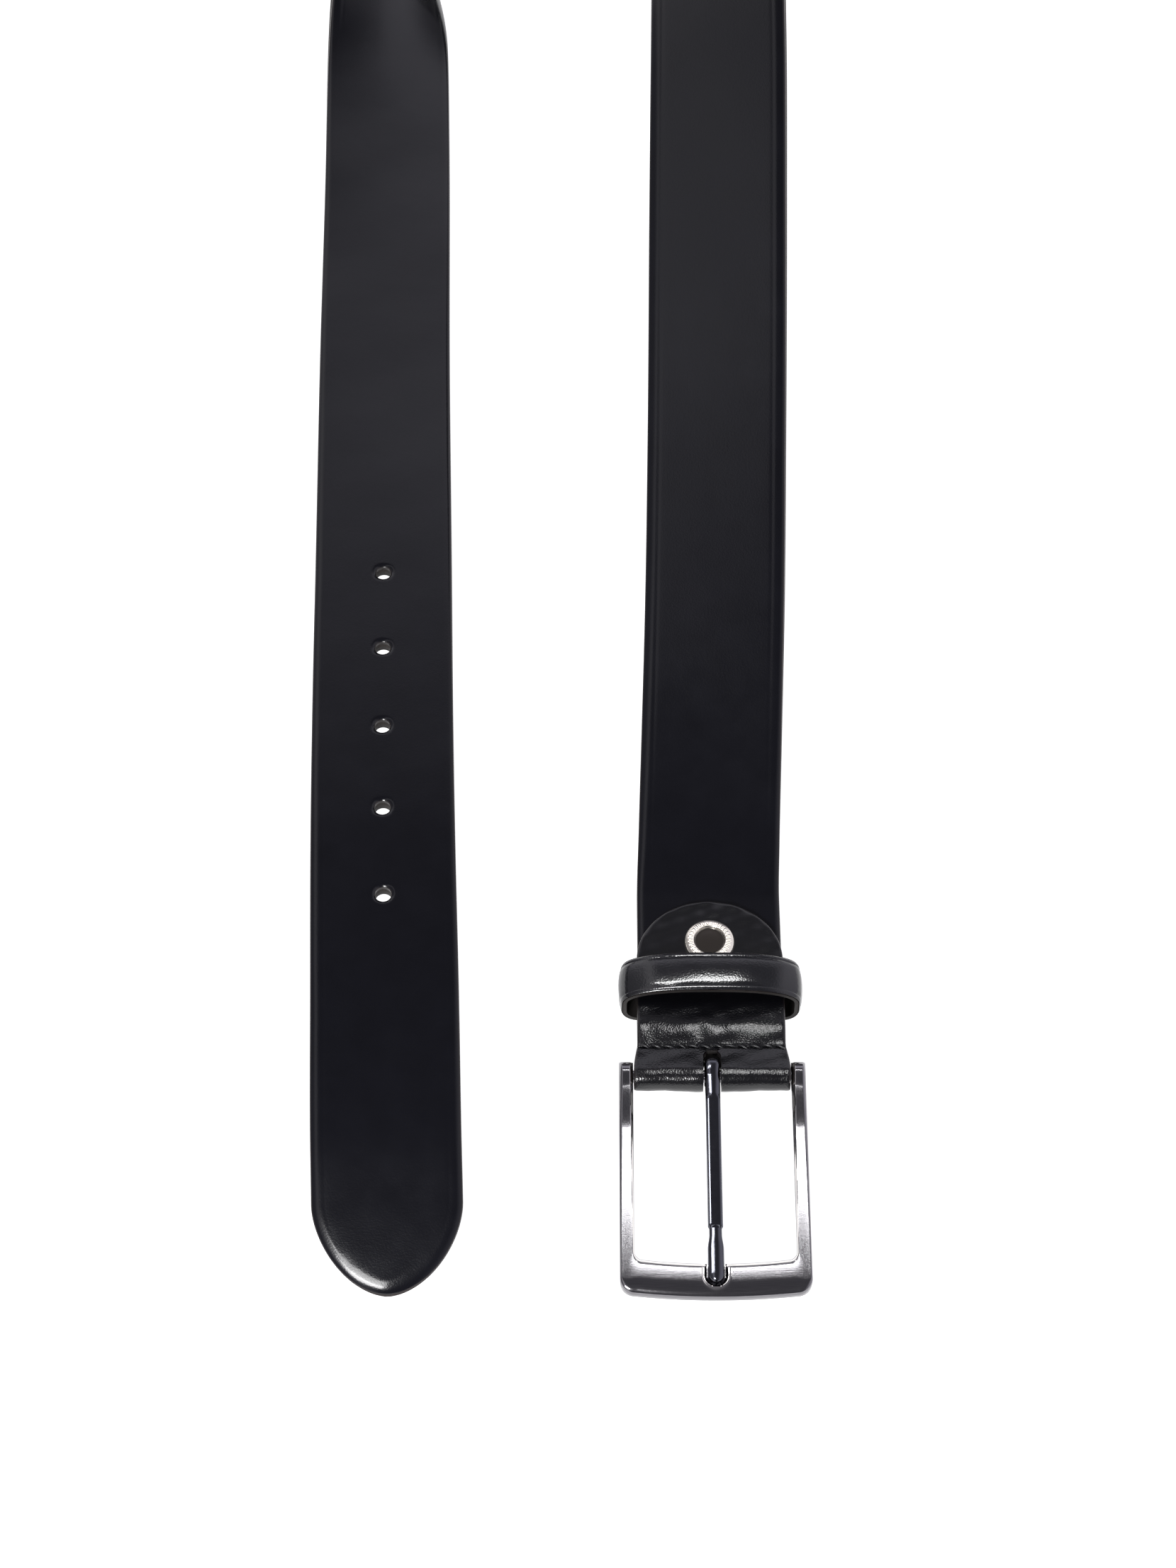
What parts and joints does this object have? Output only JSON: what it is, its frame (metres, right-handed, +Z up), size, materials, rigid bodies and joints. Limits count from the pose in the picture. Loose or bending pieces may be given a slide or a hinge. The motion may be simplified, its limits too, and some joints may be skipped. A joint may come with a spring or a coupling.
{
  "type": "leather belt",
  "caption": "Dress belt: black layered leather strap, folded chape with rounded snap tab, sliding keeper and rectangular prong buckle.",
  "frame": {"origin": "on the table, under the middle of the belt as it lies", "axes": "+Y from the buckle and tip towards the far bend, +X to the wearer's buckle side, +Z up from the table"},
  "size_m": [0.1271, 0.5326, 0.1133],
  "materials": {
    "belt_leather": "smooth polished black",
    "chape_leather": "fine-grained glossy black",
    "lining_leather": "matt black-brown",
    "filler": "matt bonded leather with painted edge",
    "thread": "waxed twisted thread",
    "polished_nickel": "polished",
    "staple_wire": "bright",
    "satin_gunmetal": "satin, brushed along each bar",
    "black_nickel": "polished"
  },
  "bodies": {
    "strap": {"strap_face": "belt_leather", "strap_core": "filler", "strap_lining": "lining_leather", "chape_cover": "chape_leather", "chape_liner": "lining_leather", "needle_thread": "thread", "bobbin_thread": "thread", "snap_cap": "polished_nickel", "snap_socket": "polished_nickel", "snap_stud": "polished_nickel", "snap_eyelet": "polished_nickel"},
    "keeper": {"keeper_cover": "chape_leather", "keeper_core": "filler", "keeper_lining": "lining_leather", "keeper_staple": "staple_wire"},
    "buckle": {"buckle_frame": "satin_gunmetal", "buckle_bar": "satin_gunmetal"},
    "prong": {"prong": "black_nickel"}
  },
  "joints": [
    {"name": "buckle_swivel", "type": "hinge", "parent": "strap", "child": "buckle", "pos_m": [0.0405, -0.209, 0.0057], "axis": [-1, 0, 0], "range_deg": [-35, 25]},
    {"name": "prong_swing", "type": "hinge", "parent": "buckle", "child": "prong", "pos_m": [0.0405, -0.209, 0.0057], "axis": [-1, 0, 0], "range_deg": [0, 100]},
    {"name": "keeper_slide", "type": "slide", "parent": "strap", "child": "keeper", "axis": [0, 1, 0], "range_m": [-0.007, 0.02]}
  ]
}
